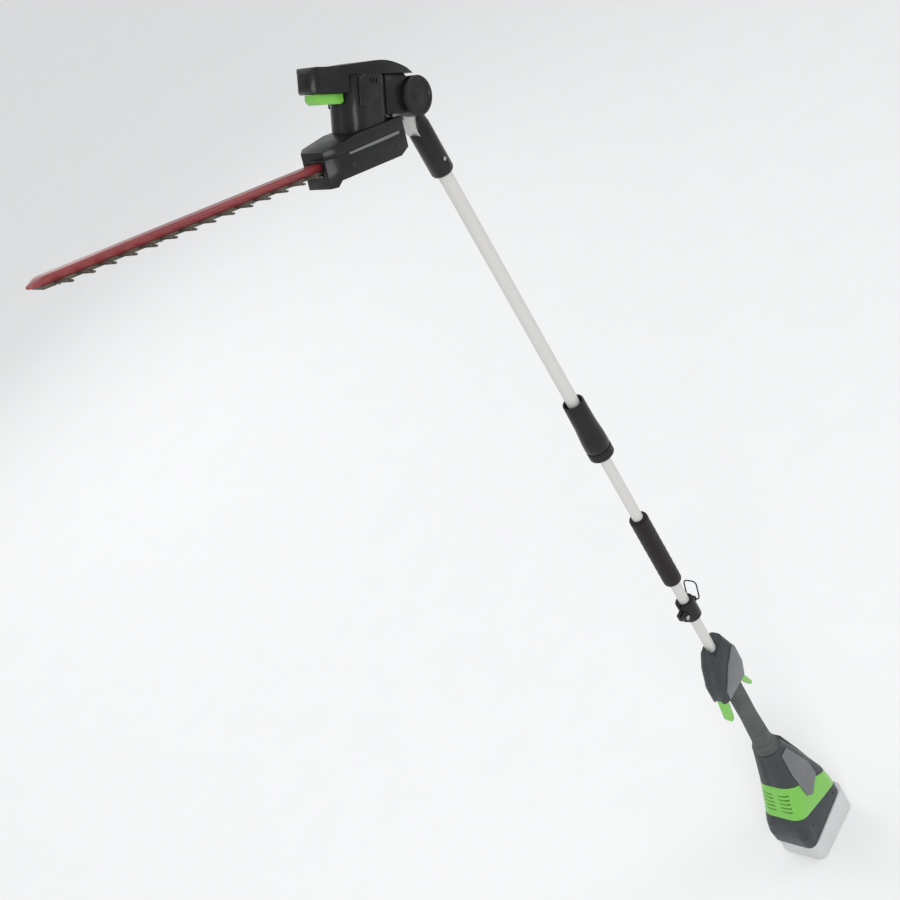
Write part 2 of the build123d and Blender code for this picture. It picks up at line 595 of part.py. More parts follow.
def gear_form():
    """Outer form of the gear housing, narrowed to the nose at its front."""
    slab(HEAD, gear_side, -GEAR_HALF, GEAR_HALF)
    with BuildSketch(level(HEAD, LIP_BOTTOM - 5), mode=Mode.PRIVATE) as plan:
        with BuildLine():
            Polyline((GEAR_BACK, -GEAR_HALF + 10), (GEAR_BACK + 10, -GEAR_HALF),
                     (GEAR_FRONT - 17, -GEAR_HALF), (GEAR_FRONT, -NOSE_HALF), (GEAR_FRONT, NOSE_HALF),
                     (GEAR_FRONT - 17, GEAR_HALF), (GEAR_BACK + 10, GEAR_HALF),
                     (GEAR_BACK, GEAR_HALF - 10), close=True)
        make_face()
    extrude(plan.sketch, amount=100, mode=Mode.INTERSECT)


def blade_way():
    """The slot in the nose that the blades and their bar come out of."""
    low = LOWER_BLADE_LOW - SCREW_HEAD_T - FREE
    block(HEAD, gear_inside_front - 1, GEAR_FRONT + 1, BLADE_HALF + FREE, low, BAR_TOP + SEAT,
          mode=Mode.SUBTRACT)


with BuildPart() as gear_housing_upper:
    gear_form()
    roof = GEAR_TOP - ROOF_T
    slab(HEAD, [(gear_inside_back, -100), (gear_inside_back, roof), (NOSE_SLOPE_START, roof),
                (gear_inside_front, NOSE_TOP - ROOF_T), (gear_inside_front, -100)],
         -GEAR_HALF + WALL, GEAR_HALF - WALL, Mode.SUBTRACT)
    post(HEAD, MOTOR_POS, BEARING_R + 3, -50, GEAR_TOP + 1, Mode.SUBTRACT)
    blade_way()
    split(bisect_by=level(HEAD, GEAR_SEAM), keep=Keep.TOP)
save(gear_housing_upper, "gear_housing_upper")

with BuildPart() as gear_housing_lower:
    gear_form()
    block(HEAD, gear_inside_back, gear_inside_front, GEAR_HALF - WALL, GEAR_BOTTOM + WALL, 0,
          8, Mode.SUBTRACT)
    blade_way()
    # boss that carries the lower bearing, and pads under the root of the bar
    post(HEAD, GEAR_POS, HUB_R + 8, GEAR_BOTTOM + 1, LOWER_BLADE_LOW - 3)
    post(HEAD, GEAR_POS, HUB_R + 4 + SEAT, GEAR_BOTTOM + WALL + FREE - SEAT, 0, Mode.SUBTRACT)
    split(bisect_by=level(HEAD, GEAR_SEAM - SEAT), keep=Keep.BOTTOM)
save(gear_housing_lower, "gear_housing_lower")

with BuildPart() as housing_screws:
    for reach in (GEAR_BACK + 40, GEAR_FRONT - 40):
        for side in (-1, 1):
            with BuildSketch(level(HEAD, GEAR_BOTTOM - 2.2), mode=Mode.PRIVATE) as head_outline:
                with Locations((reach, side * (GEAR_HALF - 12))):
                    Circle(4)
            extrude(head_outline.sketch, amount=2.2 - SEAT)
save(housing_screws, "housing_screws")

# ---------------------------------------------------------------- cutting bar and blades
screw_first = GEAR_FRONT + 50
screw_step = (BLADE_TIP - 45 - screw_first) / (SCREW_COUNT - 1)
screw_places = [screw_first + screw_step * n for n in range(SCREW_COUNT)]
root_screw = BAR_ROOT + 12
screw_places.insert(0, root_screw)

with BuildPart() as guard_bar:
    block(HEAD, BAR_ROOT, BLADE_TIP, BAR_HALF, BAR_BOTTOM, BAR_TOP)
    top_edges = guard_bar.faces().sort_by(Axis(pivot, HEAD.y_dir))[-1].edges()
    fillet(top_edges.filter_by(Axis(pivot, HEAD.x_dir)), 4.5)
    # wedge at the tip, in side view and in plan
    slab(HEAD, [(BLADE_TIP - 26, BAR_TOP + 1), (BLADE_TIP + 1, BAR_TOP + 1),
                (BLADE_TIP + 1, BAR_BOTTOM + 3)], -BAR_HALF, BAR_HALF, Mode.SUBTRACT)
    for side in (-1, 1):
        with BuildSketch(level(HEAD, BAR_BOTTOM), mode=Mode.PRIVATE) as corner_cut:
            with BuildLine():
                Polyline((BLADE_TIP - 22, side * (BAR_HALF + 1)), (BLADE_TIP + 1, side * (BAR_HALF + 1)),
                         (BLADE_TIP + 1, side * 4), close=True)
            make_face()
        extrude(corner_cut.sketch, amount=BAR_T, mode=Mode.SUBTRACT)
    for place in screw_places:
        post(HEAD, place, SCREW_R + SEAT, BAR_BOTTOM, BAR_TOP - 2, Mode.SUBTRACT)
save(guard_bar, "guard_bar")


def blade(low, shift):
    """One flat blade: drive window, slots for the screws, and teeth on both edges."""
    first = GEAR_FRONT + 26 + shift
    count = int((BLADE_TIP - 22 - first) / TOOTH_PITCH) + 1
    tail = GEAR_POS - WINDOW_LENGTH / 2 - 7
    with BuildPart() as strip:
        with BuildSketch(level(HEAD, low)):
            with Locations(((tail + BLADE_TIP - 14) / 2, 0)):
                Rectangle(BLADE_TIP - 14 - tail, 2 * BLADE_HALF)
            with Locations((GEAR_POS, 0)):
                Rectangle(WINDOW_LENGTH + 14, WINDOW_WIDTH + 10)
            for n in range(count):
                for side in (-1, 1):
                    foot = first + n * TOOTH_PITCH
                    with BuildLine():
                        Polyline((foot - TOOTH_BASE / 2, side * (BLADE_HALF - 1)),
                                 (foot + TOOTH_BASE / 2, side * (BLADE_HALF - 1)),
                                 (foot + TOOTH_POINT / 2, side * TOOTH_TIP),
                                 (foot - TOOTH_POINT / 2, side * TOOTH_TIP), close=True)
                    make_face()
            with Locations((GEAR_POS, 0)):
                Rectangle(WINDOW_LENGTH, WINDOW_WIDTH, mode=Mode.SUBTRACT)
            for place in screw_places:
                with Locations((place, 0)):
                    slot_width = 2 * (SCREW_R + APART)
                    SlotOverall(2 * (SCREW_R + STROKE + APART), slot_width, mode=Mode.SUBTRACT)
        extrude(amount=BLADE_T)
    return strip


save(blade(UPPER_BLADE_LOW, STROKE), "upper_blade")
save(blade(LOWER_BLADE_LOW, -STROKE), "lower_blade")

with BuildPart() as blade_screws:
    for place in screw_places:
        head_top = LOWER_BLADE_LOW - SEAT
        post(HEAD, place, SCREW_HEAD_R, head_top - SCREW_HEAD_T, head_top)
        post(HEAD, place, SCREW_R, head_top - 1, BAR_TOP - 2.5)
save(blade_screws, "blade_screws")

# ---------------------------------------------------------------- foam grip and harness clamp
with BuildPart() as foam_grip:
    pipe(FOAM_D / 2, FOAM_FOOT, FOAM_FOOT + FOAM_LENGTH)
    fillet(foam_grip.edges().filter_by(GeomType.CIRCLE), 4)
    pipe(TUBE_BORE_R, FOAM_FOOT - 1, FOAM_FOOT + FOAM_LENGTH + 1, Mode.SUBTRACT)
save(foam_grip, "foam_grip")

clamp_mid = CLAMP_FOOT + CLAMP_HEIGHT / 2
clamp_r = CLAMP_D / 2
bolt_reach = -clamp_r - 4
eye_reach = clamp_r + 5
eye_half = RING_WIDTH / 2 - RING_CORNER - RING_WIRE_R
with BuildPart() as harness_clamp:
    pipe(clamp_r, CLAMP_FOOT, CLAMP_FOOT + CLAMP_HEIGHT)
    chamfer(harness_clamp.edges().filter_by(GeomType.CIRCLE), 2)
    # two ears in front, closed by a bolt, and an eye behind for the harness ring
    slab(SIDE, [(-clamp_r - 11, clamp_mid - 8), (0, clamp_mid - 12), (0, clamp_mid + 12),
                (-clamp_r - 11, clamp_mid + 8)], -9, 9)
    slab(SIDE, [(0, clamp_mid - 9), (eye_reach + 4, clamp_mid - 5), (eye_reach + 4, clamp_mid + 5),
                (0, clamp_mid + 9)], -eye_half, eye_half)
    pipe(TUBE_BORE_R, CLAMP_FOOT - 1, CLAMP_FOOT + CLAMP_HEIGHT + 1, Mode.SUBTRACT)
    slab(SIDE, [(-60, CLAMP_FOOT - 1), (0, CLAMP_FOOT - 1), (0, CLAMP_FOOT + CLAMP_HEIGHT + 1),
                (-60, CLAMP_FOOT + CLAMP_HEIGHT + 1)], -1.5, 1.5, Mode.SUBTRACT)
    disc(SIDE, (bolt_reach, clamp_mid), CLAMP_BOLT_R + SEAT, -20, 20, Mode.SUBTRACT)
    disc(SIDE, (eye_reach, clamp_mid), RING_WIRE_R + RUN, -20, 20, Mode.SUBTRACT)
save(harness_clamp, "harness_clamp")

with BuildPart() as clamp_bolt:
    disc(SIDE, (bolt_reach, clamp_mid), CLAMP_BOLT_R, -13, 9 + SEAT)
    disc(SIDE, (bolt_reach, clamp_mid), CLAMP_BOLT_R + 2.2, 9 + SEAT, 12.5)
save(clamp_bolt, "clamp_bolt")

with BuildPart() as clamp_nut:
    with BuildSketch(SIDE.offset(-9 - SEAT - 4)):
        with Locations((bolt_reach, clamp_mid)):
            RegularPolygon(CLAMP_BOLT_R + 2.2, 6)
            Circle(CLAMP_BOLT_R + SEAT, mode=Mode.SUBTRACT)
    extrude(amount=4)
save(clamp_nut, "clamp_nut")

ring_plane = Plane(
    origin=(eye_reach, 0, clamp_mid),
    x_dir=(0, 1, 0),
    z_dir=(-cos(radians(RING_LEAN)), 0, sin(radians(RING_LEAN))),
)
with BuildPart() as harness_ring:
    up = 1 if ring_plane.y_dir.Z > 0 else -1
    half = RING_WIDTH / 2
    with BuildLine(ring_plane):
        ring_path = FilletPolyline((-half, 0), (half, 0), (half, up * RING_HEIGHT),
                                   (-half, up * RING_HEIGHT), close=True, radius=RING_CORNER)
    with BuildSketch(Plane(origin=ring_path @ 0, z_dir=ring_path % 0)):
        Circle(RING_WIRE_R)
    sweep(path=ring_path)
save(harness_ring, "harness_ring")

# ---------------------------------------------------------------- switch housing and rear grip
switch_sections = (            # height, front, back, half width, corner
    (SWITCH_FOOT, -56, 34, 21, 13),
    (SWITCH_FOOT + 36, -52, 42, 26, 14),
    (SWITCH_FOOT + 84, -36, 43, 26, 14),
    (SWITCH_TOP, -18, 32, 17, 12),
)


def switch_form(inset, mode=Mode.ADD):
    """The switch housing's outer form, or the same form drawn in by a wall."""
    faces = []
    for height, front, back, half_width, corner in switch_sections:
        lift = {SWITCH_FOOT: inset, SWITCH_TOP: -6 * inset}.get(height, 0) if inset > 0 else 0
        with BuildSketch(Plane.XY.offset(height + lift), mode=Mode.PRIVATE) as section:
            with Locations(((front + back) / 2, 0)):
                RectangleRounded(back - front - 2 * inset, 2 * (half_width - inset), corner - inset)
        faces.append(section.sketch.face())
    loft(faces, ruled=True, mode=mode)


trigger_pivot = (-40.0, SWITCH_FOOT + 16)
lockoff_pivot = (24.0, SWITCH_FOOT + 14)
trigger_foot = trigger_pivot[1] - TRIGGER_LENGTH
slot_half = TRIGGER_HALF + FREE
lockoff_slot = LOCKOFF_HALF + FREE


def switch_shell(side):
    """Half of the switch housing, open below for the trigger and the lock-off lever."""
    with BuildPart() as shell:
        switch_form(0)
        switch_form(HOUSING_WALL, Mode.SUBTRACT)
        slab(SIDE, [(-18, SWITCH_TOP - 18), (-18, SWITCH_TOP + 1), (32, SWITCH_TOP + 1)],
             -30, 30, Mode.SUBTRACT)
        pipe(TUBE_BORE_R, SWITCH_FOOT - 1, SWITCH_TOP + 1, Mode.SUBTRACT)
        slab(SIDE, [(-58, SWITCH_FOOT - 1), (-29, SWITCH_FOOT - 1), (-29, SWITCH_FOOT + 6),
                    (-58, SWITCH_FOOT + 6)], -slot_half, slot_half, Mode.SUBTRACT)
        slab(SIDE, [(14, SWITCH_FOOT - 1), (36, SWITCH_FOOT - 1), (36, SWITCH_FOOT + 9),
                    (14, SWITCH_FOOT + 9)], -lockoff_slot, lockoff_slot, Mode.SUBTRACT)
        for place in (trigger_pivot, lockoff_pivot):
            disc(SIDE, place, PIN_R + SEAT, -PIN_HALF - SEAT, PIN_HALF + SEAT, Mode.SUBTRACT)
        keep_side(side)
    return shell


for side, word in SIDES:
    save(switch_shell(side), f"switch_housing_{word}")


def side_panel(side):
    """Pale panel laid on the back half of the switch housing's side."""
    with BuildPart() as panel:
        switch_form(-PANEL_T)
        switch_form(-SEAT, Mode.SUBTRACT)
        slab(SIDE, [(-43, SWITCH_FOOT + 3), (46, SWITCH_FOOT + 3), (46, SWITCH_FOOT + 60),
                    (37, SWITCH_FOOT + 92), (26, SWITCH_FOOT + 94), (-8, SWITCH_FOOT + 74),
                    (-43, SWITCH_FOOT + 34)],
             -40, 40, Mode.INTERSECT)
        # the panel stops short of the back, so the two sides stay apart
        slab(SIDE, [(-80, SWITCH_FOOT - 5), (80, SWITCH_FOOT - 5), (80, SWITCH_TOP + 9),
                    (-80, SWITCH_TOP + 9)], -12, 12, Mode.SUBTRACT)
        keep_side(side)
    return panel


for side, word in SIDES:
    save(side_panel(side), f"side_panel_{word}")

with BuildPart() as trigger:
    x, z = trigger_pivot
    slab(SIDE, [(x - 8, z + 7), (x + 8, z + 7), (x + 7, z - 16), (x - 4, trigger_foot + 8),
                (x - 8, trigger_foot), (x - 16, trigger_foot + 1), (x - 19, trigger_foot + 12),
                (x - 12, z - 18)], -TRIGGER_HALF, TRIGGER_HALF)
    disc(SIDE, trigger_pivot, PIN_R + RUN, -20, 20, Mode.SUBTRACT)
save(trigger, "trigger")

with BuildPart() as lock_off_lever:
    x, z = lockoff_pivot
    slab(SIDE, [(x - 5, z + 5), (x + 6, z + 5), (x + 10, z - 14), (x + 28, z - LOCKOFF_LENGTH + 6),
                (x + 24, z - LOCKOFF_LENGTH), (x + 17, z - LOCKOFF_LENGTH + 8), (x - 1, z - 26),
                (x - 6, z - 8)], -LOCKOFF_HALF, LOCKOFF_HALF)
    disc(SIDE, lockoff_pivot, PIN_R + RUN, -20, 20, Mode.SUBTRACT)
save(lock_off_lever, "lock_off_lever")

with BuildPart() as lever_pins:
    for place in (trigger_pivot, lockoff_pivot):
        disc(SIDE, place, PIN_R, -PIN_HALF, PIN_HALF)
save(lever_pins, "lever_pins")

with BuildPart() as power_switch:
    x = trigger_pivot[0]
    slab(SIDE, [(x + 1, SWITCH_FOOT + 40), (x + 24, SWITCH_FOOT + 40), (x + 24, SWITCH_FOOT + 66),
                (x + 1, SWITCH_FOOT + 66)], -8, 8)
    slab(SIDE, [(x + 4, SWITCH_FOOT + 30), (x + 8, SWITCH_FOOT + 30), (x + 8, SWITCH_FOOT + 41),
                (x + 4, SWITCH_FOOT + 41)], -3, 3)
    pipe(TUBE_BORE_R, SWITCH_FOOT, SWITCH_TOP, Mode.SUBTRACT)
save(power_switch, "power_switch")

with BuildPart() as grip_sleeve:
    with BuildSketch(Plane.XZ):
        with BuildLine():
            Polyline((TUBE_BORE_R, GRIP_FOOT), (GRIP_FOOT_R, GRIP_FOOT), (GRIP_TOP_R - 1, GRIP_FOOT + 90),
                     (GRIP_TOP_R, SWITCH_FOOT - SEAT), (TUBE_BORE_R, SWITCH_FOOT - SEAT), close=True)
        make_face()
    revolve(axis=Axis.Z)
    # recess in front of the lock-off lever's path
    slab(SIDE, [(14, SWITCH_FOOT), (14, SWITCH_FOOT - 35), (40, SWITCH_FOOT - 60), (40, SWITCH_FOOT)],
         -lockoff_slot, lockoff_slot, Mode.SUBTRACT)
save(grip_sleeve, "grip_sleeve")

with BuildPart() as grip_collar:
    with BuildSketch(Plane.XZ):
        with BuildLine():
            Polyline((TUBE_BORE_R, COLLAR_FOOT), (COLLAR_R - 2, COLLAR_FOOT), (COLLAR_R, COLLAR_FOOT + 6),
                     (COLLAR_R - 1, COLLAR_FOOT + 16), (GRIP_FOOT_R, GRIP_FOOT - SEAT),
                     (TUBE_BORE_R, GRIP_FOOT - SEAT), close=True)
        make_face()
    revolve(axis=Axis.Z)
save(grip_collar, "grip_collar")

# ---------------------------------------------------------------- battery housing
base_sections = (              # height, front, back, half width, corner
    (0, BASE_FRONT, BASE_BACK, BASE_HALF, 20),
    (BASE_TOP_HEIGHT + 20, BASE_FRONT - 2, BASE_BACK, BASE_HALF, 22),
)
housing_sections = (
    (BASE_TOP_HEIGHT - 10, BASE_FRONT - 8, BASE_BACK - 12, BASE_HALF - 4, 18),
    (95, BASE_FRONT - 13, BASE_BACK - 11, BASE_HALF - 3, 21),
    (125, BASE_FRONT - 10, BASE_BACK - 10, BASE_HALF - 3, 27),
    (165, BASE_FRONT + 3, BASE_BACK - 14, BASE_HALF - 6, 30),
    (250, BASE_FRONT + 23, BASE_BACK - 38, BASE_HALF - 16, 30),
    (SHOULDER_TOP, -30, 32, 29, 26),
)


def housing_form(inset, mode=Mode.ADD, sections=housing_sections):
    """The battery housing's outer form, or the same form drawn in by a wall."""
    faces = []
    for height, front, back, half_width, corner in sections:
        drop = max(inset, 0) if height == SHOULDER_TOP else 0
        with BuildSketch(Plane.XY.offset(height - drop), mode=Mode.PRIVATE) as section:
            with Locations(((front + back) / 2, 0)):
                RectangleRounded(back - front - 2 * inset, 2 * (half_width - inset), corner - inset)
        faces.append(section.sketch.face())
    loft(faces, ruled=True, mode=mode)


def seam_plane(height, slope, gap=0.0):
    """A seam that crosses the housing at a slope, falling towards the back when negative."""
    tilt = radians(slope)
    return Plane(origin=(0, 0, height + gap), x_dir=(cos(tilt), 0, sin(tilt)),
                 z_dir=(-sin(tilt), 0, cos(tilt)))


def housing_slice(foot=None, top=None):
    """A ring of the hollow housing between two seams."""
    housing_form(0)
    housing_form(HOUSING_WALL, Mode.SUBTRACT)
    if foot:
        split(bisect_by=foot, keep=Keep.TOP)
    if top:
        split(bisect_by=top, keep=Keep.BOTTOM)


def rear_shell(side):
    """Half of the dark upper shell, closed round the tube at its top."""
    with BuildPart() as shell:
        housing_slice(foot=seam_plane(BAND_TOP_HEIGHT, BAND_TOP_SLOPE, SEAT))
        pipe(CABLE_HOLE_R, SHOULDER_TOP - 20, SHOULDER_TOP + 1, Mode.SUBTRACT)
        keep_side(side)
    return shell


for side, word in SIDES:
    save(rear_shell(side), f"rear_housing_{word}")

with BuildPart() as vent_band:
    housing_slice(seam_plane(BAND_FOOT_HEIGHT, BAND_FOOT_SLOPE, SEAT),
                  seam_plane(BAND_TOP_HEIGHT, BAND_TOP_SLOPE))
    # two columns of cooling slots in the front
    for row in range(VENT_ROWS):
        height = VENT_FOOT + row * VENT_PITCH
        slot = [(-80, height), (-36, height), (-36, height + VENT_SLOT), (-80, height + VENT_SLOT)]
        slab(SIDE, slot, VENT_IN, VENT_OUT, Mode.SUBTRACT)
        slab(SIDE, slot, -VENT_OUT, -VENT_IN, Mode.SUBTRACT)
save(vent_band, "vent_band")

bulkhead_low = BATTERY_HEIGHT + 8
with BuildPart() as dock_ring:
    housing_slice(seam_plane(BASE_TOP_HEIGHT, BASE_TOP_SLOPE, SEAT),
                  seam_plane(BAND_FOOT_HEIGHT, BAND_FOOT_SLOPE))
    block(SIDE, BASE_FRONT - 11, BASE_BACK - 12, BASE_HALF - 4, bulkhead_low, bulkhead_low + BULKHEAD_T, 22)
save(dock_ring, "dock_ring")

battery_front = BATTERY_BACK - BATTERY_LENGTH
pack_in = RIB_HALF + APART
pack_out = pack_in + BATTERY_WIDTH
with BuildPart() as battery_dock:
    housing_form(0, sections=base_sections)
    split(bisect_by=seam_plane(BASE_TOP_HEIGHT, BASE_TOP_SLOPE), keep=Keep.BOTTOM)
    for low, high in ((RIB_HALF, pack_out + APART), (-pack_out - APART, -RIB_HALF)):
        slab(SIDE, [(battery_front - APART, -1), (BATTERY_BACK + APART, -1), (BATTERY_BACK + APART, 100),
                    (battery_front - APART, 100)], low, high, Mode.SUBTRACT)
    fillet(battery_dock.edges().group_by(Axis.Z)[0].filter_by(GeomType.CIRCLE), 3)
save(battery_dock, "battery_dock")

latch_pos = battery_front + 14


def battery_pack(side):
    """One slim battery, with a pocket in its front for the latch button."""
    with BuildPart() as pack:
        low, high = sorted((-side * pack_in, -side * pack_out))
        slab(SIDE, [(battery_front, 1.5), (BATTERY_BACK, 1.5), (BATTERY_BACK, BATTERY_HEIGHT),
                    (battery_front, BATTERY_HEIGHT)], low, high)
        fillet(pack.edges().filter_by(Axis.Z), 4)
        # guide groove down each side, and the pocket of the latch
        middle = side * (pack_in + pack_out) / 2
        pocket = Plane(origin=(latch_pos, middle, 1.5), x_dir=(1, 0, 0), z_dir=(0, 0, 1))
        with BuildSketch(pocket):
            Rectangle(16 + 2 * APART, 24 + 2 * APART)
        extrude(amount=12, mode=Mode.SUBTRACT)
    return pack


def battery_latch(side):
    """The button in the battery's underside that lets it go."""
    with BuildPart() as latch:
        middle = side * (pack_in + pack_out) / 2
        with BuildSketch(Plane(origin=(latch_pos, middle, 2.5), x_dir=(1, 0, 0), z_dir=(0, 0, 1))):
            RectangleRounded(16, 24, 3)
        extrude(amount=6)
    return latch


for side, word in SIDES:
    save(battery_pack(side), f"battery_{word}")
    save(battery_latch(side), f"battery_latch_{word}")

with BuildPart() as terminal_block:
    block(SIDE, battery_front + 20, BATTERY_BACK - 10, 30, bulkhead_low + BULKHEAD_T,
          bulkhead_low + BULKHEAD_T + 9, 4)
save(terminal_block, "terminal_block")

with BuildPart() as controller_board:
    block(SIDE, -22, 44, 1, bulkhead_low + BULKHEAD_T + 9, SHOULDER_TOP - 60)
    for foot, high in ((140, 152), (170, 186), (205, 212)):
        block(SIDE, -10, 22, 7, foot, high, 2)
save(controller_board, "controller_board")


def shield(side):
    """Raised tongue on the side of the battery housing, pointed at its foot."""
    with BuildPart() as panel:
        housing_form(-PANEL_T)
        housing_form(-SEAT, Mode.SUBTRACT)
        slab(SIDE, [(-4, SHOULDER_TOP - 22), (20, SHOULDER_TOP - 22), (48, 236), (46, 192), (6, 168),
                    (-10, 184), (-12, 260)], -80, 80, Mode.INTERSECT)
        keep_side(side)
    return panel


for side, word in SIDES:
    save(shield(side), f"shield_{word}")

bumper_foot = 170.0
bumper_top = SHOULDER_TOP - 10
with BuildPart() as rear_bumper:
    spine = [(back, height) for height, front, back, half_width, corner in housing_sections[3:]]
    skin = [(back + SEAT, height) for back, height in spine]
    ribs = [(back + BUMPER_T, height) for back, height in spine]
    slab(SIDE, [*skin, *reversed(ribs)], -BUMPER_HALF, BUMPER_HALF)
    rib_count = int((bumper_top - bumper_foot) / RIB_PITCH)
    for row in range(rib_count):
        height = bumper_foot + 6 + row * RIB_PITCH
        slab(SIDE, [(0, height), (200, height), (200, height + RIB_GAP), (0, height + RIB_GAP)],
             -BUMPER_HALF, BUMPER_HALF, Mode.SUBTRACT)
    backing = [(back + BUMPER_T / 2, height) for back, height in spine]
    slab(SIDE, [*skin, *reversed(backing)], -BUMPER_HALF, BUMPER_HALF)
    split(bisect_by=Plane.XY.offset(bumper_top), keep=Keep.BOTTOM)
save(rear_bumper, "rear_bumper")
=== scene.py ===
import json
from math import cos, pi, radians, sin

import bpy
from mathutils import Matrix, Vector


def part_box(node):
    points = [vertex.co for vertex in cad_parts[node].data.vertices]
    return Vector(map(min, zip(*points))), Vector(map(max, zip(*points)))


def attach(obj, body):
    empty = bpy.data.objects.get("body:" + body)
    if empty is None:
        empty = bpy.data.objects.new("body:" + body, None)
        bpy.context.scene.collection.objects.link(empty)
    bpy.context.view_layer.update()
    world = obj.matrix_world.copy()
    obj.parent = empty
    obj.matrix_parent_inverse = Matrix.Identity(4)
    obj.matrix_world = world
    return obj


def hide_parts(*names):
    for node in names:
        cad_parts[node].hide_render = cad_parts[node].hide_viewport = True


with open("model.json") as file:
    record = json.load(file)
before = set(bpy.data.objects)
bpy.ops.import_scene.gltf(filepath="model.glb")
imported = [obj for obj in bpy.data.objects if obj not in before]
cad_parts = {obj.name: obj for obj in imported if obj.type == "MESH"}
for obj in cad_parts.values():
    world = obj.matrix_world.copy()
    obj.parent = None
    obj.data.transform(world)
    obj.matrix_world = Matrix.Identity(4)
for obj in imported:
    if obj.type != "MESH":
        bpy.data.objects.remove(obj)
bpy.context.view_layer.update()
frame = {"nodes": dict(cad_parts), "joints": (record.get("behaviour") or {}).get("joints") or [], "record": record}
NODES = frame["nodes"]
BODY_OF = {n: b for b, names in frame["record"]["behaviour"]["bodies"].items() for n in names}
SLOT_OF = {s["node"]: s["material_slot"] for s in frame["record"]["subparts"]}
MM = 0.001

# ---------------------------------------------------------------- sizes of the head, in mm
HANDLE_FREE_END = 212
HANDLE_SIDE = 22.1             # a little outside the handle's flat side
HANDLE_LOW, HANDLE_HIGH = 9.9, 49.9
COVER_REACH = 60               # how far back the cutting forms lie inside the cover
MOTOR_SIDE = 35                # half width of the motor housing
GEAR_SIDE = 38                 # half width of the gear housing
RIB_START, RIB_END = 62, 176   # the pale rib along the gear housing, a painted highlight
HINGE_CAP_R = 32

# ---------------------------------------------------------------- places
HINGE = Vector((0, 0, next(j for j in frame["joints"] if j["name"] == "head_tilt")["pos_m"][2]))
BLADE_SLOPE = radians(22.5)
MOTOR_SLOPE = radians(35)


def tilted(slope):
    """Axes at the hinge: x forward along the blade or motor, y to the right-hand side, z up from it."""
    forward = Vector((-cos(slope), 0, sin(slope)))
    upward = Vector((sin(slope), 0, cos(slope)))
    turned = Matrix((forward, Vector((0, -1, 0)), upward)).transposed().to_4x4()
    return Matrix.Translation(HINGE) @ turned


BLADE_AXES = tilted(BLADE_SLOPE)
MOTOR_AXES = tilted(MOTOR_SLOPE)


# ---------------------------------------------------------------- camera, floor and lights
def set_camera():
    eye = Vector((-1.576, -1.800, 3.141))
    ahead = Vector((0.4764, 0.6675, -0.5723)).normalized()
    up = Vector((0.7186, 0.0795, 0.6908))
    right = ahead.cross(up).normalized()
    up = right.cross(ahead)
    turned = Matrix((right, up, -ahead)).transposed().to_4x4()
    lens = bpy.data.cameras.new("studio_camera")
    lens.sensor_width = 36
    lens.lens = 64
    lens.clip_start = 0.05
    holder = bpy.data.objects.new("studio_camera", lens)
    holder.matrix_world = Matrix.Translation(eye) @ turned
    bpy.context.collection.objects.link(holder)
    bpy.context.scene.camera = holder


def soft_light(name, place, target, size, watts):
    lamp = bpy.data.lights.new(name, "AREA")
    lamp.shape = "RECTANGLE"
    lamp.size, lamp.size_y = size
    lamp.energy = watts
    holder = bpy.data.objects.new(name, lamp)
    aim = (Vector(target) - Vector(place)).to_track_quat("-Z", "Y")
    holder.matrix_world = Matrix.Translation(Vector(place)) @ aim.to_matrix().to_4x4()
    bpy.context.collection.objects.link(holder)


def clear_selection():
    if bpy.context.object and bpy.context.object.mode != "OBJECT":
        bpy.ops.object.mode_set(mode="OBJECT")
    bpy.ops.object.select_all(action="DESELECT")


# ---------------------------------------------------------------- materials
def shader_of(name, colour, roughness, metallic=0.0, coat=0.0, specular=0.5):
    mat = bpy.data.materials.new(name)
    mat.use_nodes = True
    mat.diffuse_color = (*colour, 1)
    shader = mat.node_tree.nodes["Principled BSDF"]
    shader.inputs["Base Color"].default_value = (*colour, 1)
    shader.inputs["Roughness"].default_value = roughness
    shader.inputs["Metallic"].default_value = metallic
    shader.inputs["Coat Weight"].default_value = coat
    shader.inputs["Coat Roughness"].default_value = 0.12
    shader.inputs["Specular IOR Level"].default_value = specular
    return mat, mat.node_tree, shader


def place_on(tree, slope=0.0, stretch=(1, 1, 1)):
    """Object coordinates, turned to lie along a sloping piece and stretched."""
    coords = tree.nodes.new("ShaderNodeTexCoord")
    mapping = tree.nodes.new("ShaderNodeMapping")
    mapping.inputs["Rotation"].default_value = (0, slope, 0)
    after = tree.nodes.new("ShaderNodeMapping")
    after.inputs["Scale"].default_value = stretch
    tree.links.new(coords.outputs["Object"], mapping.inputs["Vector"])
    tree.links.new(mapping.outputs["Vector"], after.inputs["Vector"])
    return after.outputs["Vector"]


def noise(tree, vector, scale, detail=3.0, rough=0.55):
    node = tree.nodes.new("ShaderNodeTexNoise")
    node.inputs["Scale"].default_value = scale
    node.inputs["Detail"].default_value = detail
    node.inputs["Roughness"].default_value = rough
    tree.links.new(vector, node.inputs["Vector"])
    return node.outputs["Fac"]


def cells(tree, vector, scale):
    node = tree.nodes.new("ShaderNodeTexVoronoi")
    node.inputs["Scale"].default_value = scale
    tree.links.new(vector, node.inputs["Vector"])
    return node.outputs["Distance"]


def spread(tree, value, low, high, out_low, out_high):
    node = tree.nodes.new("ShaderNodeMapRange")
    for socket, number in zip(("From Min", "From Max", "To Min", "To Max"), (low, high, out_low, out_high)):
        node.inputs[socket].default_value = number
    tree.links.new(value, node.inputs["Value"])
    return node.outputs["Result"]


def two_tone(tree, shader, factor, first, second):
    node = tree.nodes.new("ShaderNodeMix")
    node.data_type = "RGBA"
    node.inputs[6].default_value = (*first, 1)
    node.inputs[7].default_value = (*second, 1)
    tree.links.new(factor, node.inputs[0])
    tree.links.new(node.outputs[2], shader.inputs["Base Color"])


